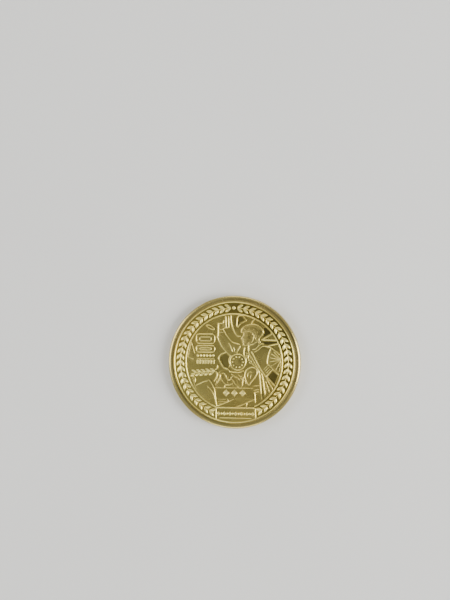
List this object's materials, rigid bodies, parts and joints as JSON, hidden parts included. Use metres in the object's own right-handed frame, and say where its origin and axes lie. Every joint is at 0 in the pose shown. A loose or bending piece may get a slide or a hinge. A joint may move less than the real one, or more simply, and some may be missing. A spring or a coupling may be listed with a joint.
{
  "type": "challenge coin",
  "caption": "Round struck metal coin with a raised smooth rim, ringed ornament band, low-relief device on the front and a wreathed star on the back.",
  "frame": {"origin": "centre of the underside, on the surface that the coin lies on", "axes": "+Z out of the obverse, +Y towards the top of the obverse's design, +X to its right"},
  "size_m": [0.04, 0.04, 0.003],
  "materials": {
    "struck_gold": "satin struck gold-coloured plate, raised lines brighter than the fields",
    "rim_gold": "smooth semi-bright gold-coloured plate with light handling marks",
    "core_brass": "plain rolled brass, not seen"
  },
  "bodies": {
    "root": {"core_blank": "core_brass", "edge_band": "rim_gold", "obverse_face": "struck_gold", "reverse_face": "struck_gold"}
  },
  "joints": []
}
